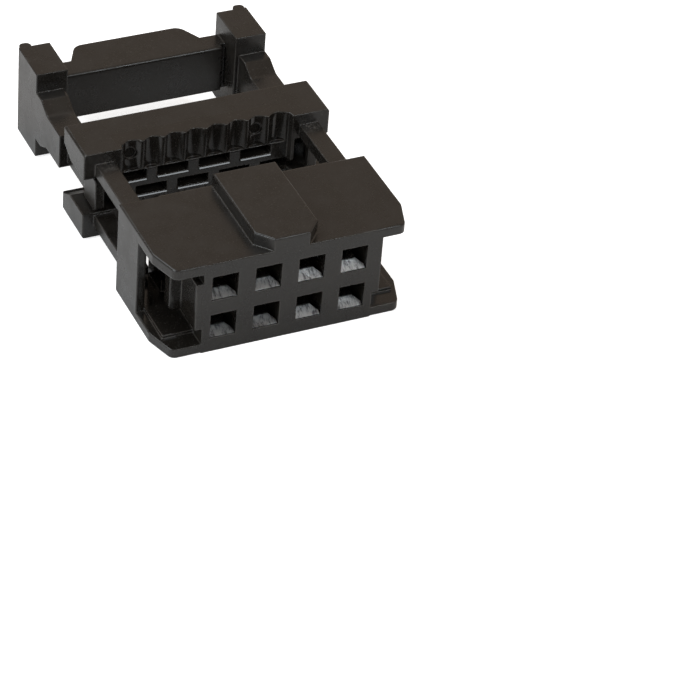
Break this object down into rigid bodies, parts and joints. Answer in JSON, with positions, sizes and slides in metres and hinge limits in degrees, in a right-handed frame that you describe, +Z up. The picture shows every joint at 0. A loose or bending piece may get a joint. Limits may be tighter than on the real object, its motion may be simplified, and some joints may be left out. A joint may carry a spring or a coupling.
{
  "type": "idc socket connector",
  "caption": "Ribbon cable socket with insulation displacement contacts, a polarizing key, a latching cover and a strain relief, both standing open.",
  "frame": {"origin": "middle of the contact grid on the mating face of the socket body", "axes": "X along the contact rows, Y from the mating face to the cable side, Z up through the polarizing key"},
  "size_m": [0.0148, 0.0242, 0.0067],
  "materials": {
    "black_plastic": "moulded, slightly satin",
    "plated_metal": "tin plated, bright"
  },
  "bodies": {
    "socket": {"socket_body": "black_plastic", "contact_1": "plated_metal", "contact_2": "plated_metal", "contact_3": "plated_metal", "contact_4": "plated_metal", "contact_5": "plated_metal", "contact_6": "plated_metal", "contact_7": "plated_metal", "contact_8": "plated_metal"},
    "cover": {"cover": "black_plastic"},
    "strain_relief": {"strain_relief": "black_plastic"}
  },
  "joints": [
    {"name": "cover_slide", "type": "slide", "parent": "socket", "child": "cover", "axis": [0, -1, 0], "range_m": [0, 0.00492]},
    {"name": "strain_relief_slide", "type": "slide", "parent": "cover", "child": "strain_relief", "axis": [0, -1, 0], "range_m": [0, 0.0046]}
  ]
}
